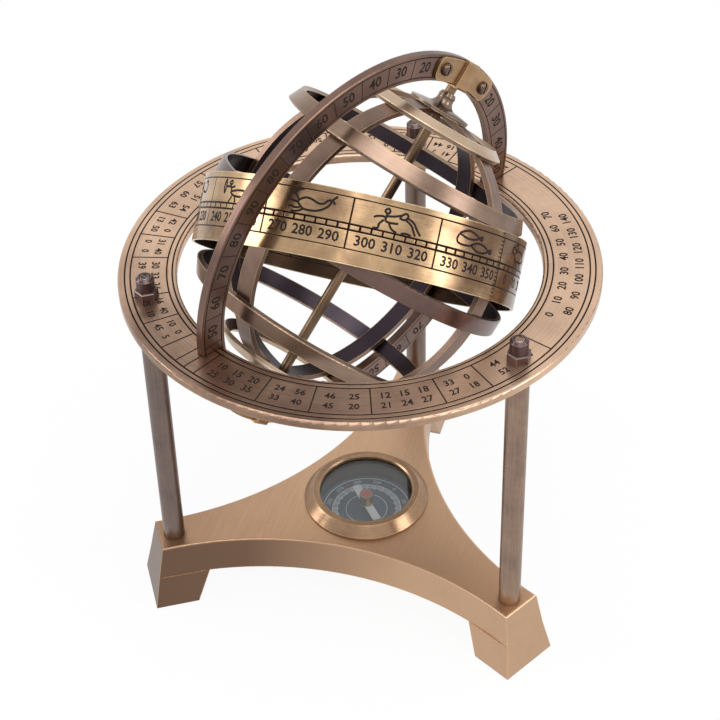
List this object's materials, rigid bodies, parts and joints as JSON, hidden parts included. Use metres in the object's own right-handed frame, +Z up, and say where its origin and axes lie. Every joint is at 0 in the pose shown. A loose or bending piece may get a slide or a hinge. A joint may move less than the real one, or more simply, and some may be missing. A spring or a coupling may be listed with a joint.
{
  "type": "armillary sphere",
  "caption": "Antiqued brass armillary sphere: banded celestial globe on a polar rod in a meridian ring, held by a horizon ring on pillars over a footed base with a compass.",
  "frame": {"origin": "on the floor under the middle of the base and of the horizon ring", "axes": "+Z up, +Y north (the meridian ring stands in the north-south plane, the upper pole to the north), +X east, through one pillar"},
  "size_m": [0.1414, 0.14, 0.1849],
  "materials": {
    "base": "antiqued, brushed",
    "pillar_east": "antiqued, brushed",
    "pillar_northwest": "antiqued, brushed",
    "pillar_southwest": "antiqued, brushed",
    "cap_nut_east": "antiqued, brushed",
    "cap_nut_northwest": "antiqued, brushed",
    "cap_nut_southwest": "antiqued, brushed",
    "horizon_ring": "antiqued, brushed",
    "compass_case": "antiqued, brushed",
    "bezel": "antiqued, brushed",
    "compass_glass": "clear",
    "dial_card": "printed",
    "pivot": "antiqued, brushed",
    "meridian_ring": "antiqued, brushed",
    "upper_bracket": "antiqued, brushed",
    "lower_bracket": "antiqued, brushed",
    "upper_screw_a": "antiqued, brushed",
    "upper_screw_b": "antiqued, brushed",
    "lower_screw_a": "antiqued, brushed",
    "lower_screw_b": "antiqued, brushed",
    "polar_rod": "antiqued, brushed",
    "north_pole_cap": "antiqued, brushed",
    "south_pole_cap": "antiqued, brushed",
    "solstitial_colure": "antiqued, brushed",
    "equinoctial_colure": "antiqued, brushed",
    "equator_ring": "antiqued, brushed",
    "north_tropic": "antiqued, brushed",
    "south_tropic": "antiqued, brushed",
    "north_polar_circle": "antiqued, brushed",
    "south_polar_circle": "antiqued, brushed",
    "zodiac_band": "antiqued, brushed",
    "needle": "white",
    "needle_hub": "antiqued, brushed",
    "hub_jewel": "red"
  },
  "bodies": {
    "stand": {"base": "base", "pillar_east": "pillar_east", "pillar_northwest": "pillar_northwest", "pillar_southwest": "pillar_southwest", "cap_nut_east": "cap_nut_east", "cap_nut_northwest": "cap_nut_northwest", "cap_nut_southwest": "cap_nut_southwest", "horizon_ring": "horizon_ring", "compass_case": "compass_case", "bezel": "bezel", "compass_glass": "compass_glass", "dial_card": "dial_card", "pivot": "pivot"},
    "meridian": {"meridian_ring": "meridian_ring", "upper_bracket": "upper_bracket", "lower_bracket": "lower_bracket", "upper_screw_a": "upper_screw_a", "upper_screw_b": "upper_screw_b", "lower_screw_a": "lower_screw_a", "lower_screw_b": "lower_screw_b"},
    "celestial_sphere": {"polar_rod": "polar_rod", "north_pole_cap": "north_pole_cap", "south_pole_cap": "south_pole_cap", "solstitial_colure": "solstitial_colure", "equinoctial_colure": "equinoctial_colure", "equator_ring": "equator_ring", "north_tropic": "north_tropic", "south_tropic": "south_tropic", "north_polar_circle": "north_polar_circle", "south_polar_circle": "south_polar_circle", "zodiac_band": "zodiac_band"},
    "compass_needle": {"needle": "needle", "needle_hub": "needle_hub", "hub_jewel": "hub_jewel"}
  },
  "joints": [
    {"name": "meridian_slide", "type": "hinge", "parent": "stand", "child": "meridian", "pos_m": [0, 0, 0.1246], "axis": [0.9957, 0, -0.0924], "range_deg": [-15, 95]},
    {"name": "sphere_spin", "type": "hinge", "parent": "meridian", "child": "celestial_sphere", "pos_m": [0, 0, 0.1246], "axis": [0.0692, 0.6626, 0.7458], "continuous": true},
    {"name": "needle_turn", "type": "hinge", "parent": "stand", "child": "compass_needle", "pos_m": [0, 0, 0.0192], "axis": [0, 0, 1], "continuous": true}
  ]
}
